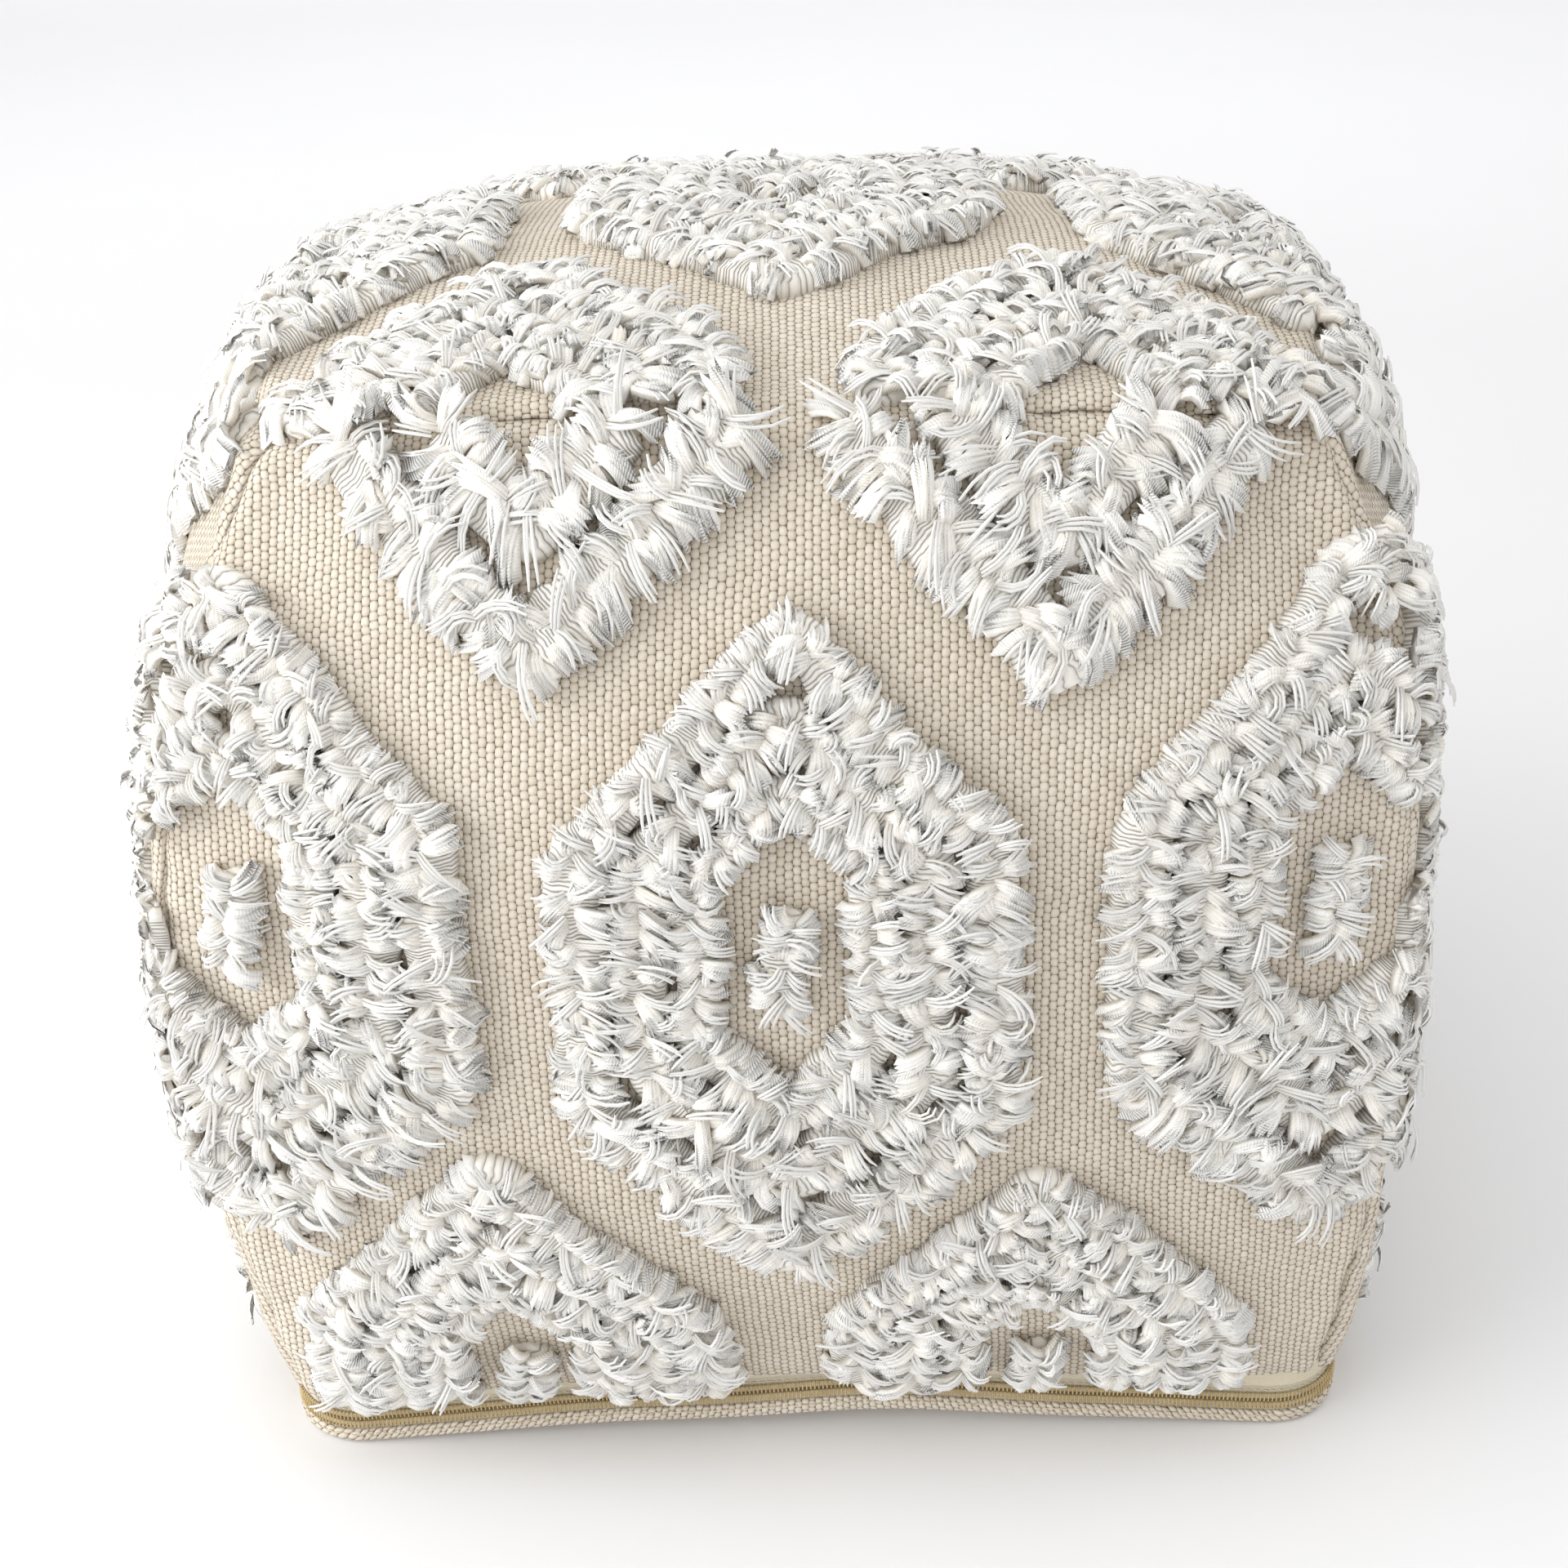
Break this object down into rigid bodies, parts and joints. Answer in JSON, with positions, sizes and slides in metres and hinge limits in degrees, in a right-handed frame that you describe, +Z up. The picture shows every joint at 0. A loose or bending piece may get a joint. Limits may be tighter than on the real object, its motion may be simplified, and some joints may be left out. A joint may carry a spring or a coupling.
{
  "type": "tufted floor pouf",
  "caption": "Stuffed cube floor pouf in undyed cotton canvas with tufted shag hexagon motifs and a zip round the base.",
  "frame": {"origin": "middle of the base panel's underside, on the floor", "axes": "+Z up, the front wall towards -Y, the slider's side towards -X"},
  "size_m": [0.4796, 0.4796, 0.417],
  "materials": {
    "canvas": "heavy undyed cotton canvas, coarse plain weave",
    "tufted_yarn": "off-white tufted cotton yarn, cut and looped pile",
    "zip_tape": "woven cream tape",
    "zip_coil": "gold-beige coil",
    "zip_metal": "satin",
    "lining": "thin white cotton",
    "filling": "white fibre"
  },
  "bodies": {
    "cover": {"front_panel": "canvas", "right_panel": "canvas", "back_panel": "canvas", "left_panel": "canvas", "top_panel": "canvas", "base_panel": "canvas", "front_tuft_center": "tufted_yarn", "front_tuft_left": "tufted_yarn", "front_tuft_right": "tufted_yarn", "front_tuft_top_left": "tufted_yarn", "front_tuft_top_right": "tufted_yarn", "front_tuft_bottom_left": "tufted_yarn", "front_tuft_bottom_right": "tufted_yarn", "right_tuft_center": "tufted_yarn", "right_tuft_left": "tufted_yarn", "right_tuft_right": "tufted_yarn", "right_tuft_top_left": "tufted_yarn", "right_tuft_top_right": "tufted_yarn", "right_tuft_bottom_left": "tufted_yarn", "right_tuft_bottom_right": "tufted_yarn", "back_tuft_center": "tufted_yarn", "back_tuft_left": "tufted_yarn", "back_tuft_right": "tufted_yarn", "back_tuft_top_left": "tufted_yarn", "back_tuft_top_right": "tufted_yarn", "back_tuft_bottom_left": "tufted_yarn", "back_tuft_bottom_right": "tufted_yarn", "left_tuft_center": "tufted_yarn", "left_tuft_left": "tufted_yarn", "left_tuft_right": "tufted_yarn", "left_tuft_top_left": "tufted_yarn", "left_tuft_top_right": "tufted_yarn", "left_tuft_bottom_left": "tufted_yarn", "left_tuft_bottom_right": "tufted_yarn", "top_tuft_center": "tufted_yarn", "top_tuft_left": "tufted_yarn", "top_tuft_right": "tufted_yarn", "top_tuft_front_left": "tufted_yarn", "top_tuft_front_right": "tufted_yarn", "top_tuft_rear_left": "tufted_yarn", "top_tuft_rear_right": "tufted_yarn", "zip_upper_tape": "zip_tape", "zip_lower_tape": "zip_tape", "zip_upper_coil": "zip_coil", "zip_lower_coil": "zip_coil", "zip_top_stops": "zip_metal", "zip_bottom_stop": "zip_metal", "insert_lining": "lining", "insert_filling": "filling"},
    "slider": {"zip_slider": "zip_metal"},
    "pull": {"zip_pull": "zip_metal"}
  },
  "joints": [
    {"name": "zip_slide", "type": "slide", "parent": "cover", "child": "slider", "axis": [0, -1, 0], "range_m": [0, 0.28]},
    {"name": "pull_swing", "type": "hinge", "parent": "slider", "child": "pull", "pos_m": [-0.193, 0.14, 0.0105], "axis": [0, 0, -1], "range_deg": [0, 165]}
  ]
}
